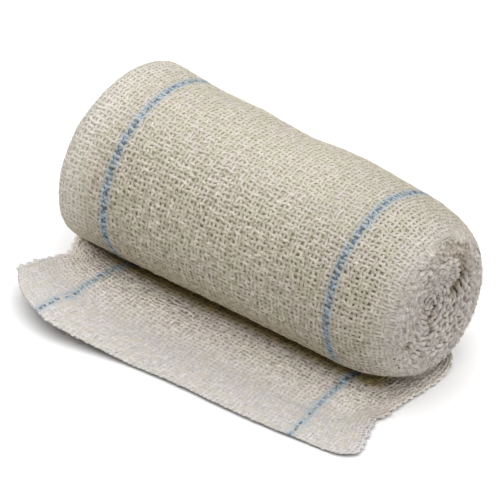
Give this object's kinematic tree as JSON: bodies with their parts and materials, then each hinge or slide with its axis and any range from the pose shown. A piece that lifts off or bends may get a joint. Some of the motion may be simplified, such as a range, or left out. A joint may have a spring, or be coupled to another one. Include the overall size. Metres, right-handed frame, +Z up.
{
  "type": "crepe bandage",
  "caption": "Soft roll of stretchy crepe bandage cloth with a thin blue line along each edge and its cut loose end lying flat in front, for wrapping and supporting a limb.",
  "frame": {"origin": "on the resting plane, straight below the roll's axis and half-way between the two edge lines of the cloth", "axes": "+X along the roll's axis towards its round-shouldered end, -Y towards the loose end, +Z up from the resting plane"},
  "size_m": [0.1039, 0.069, 0.0484],
  "materials": {
    "crepe_cloth": "matte pebbled crepe weave in undyed cotton, with a thin blue thread along each edge"
  },
  "bodies": {
    "root": {"crepe_bandage": "crepe_cloth"}
  },
  "joints": []
}
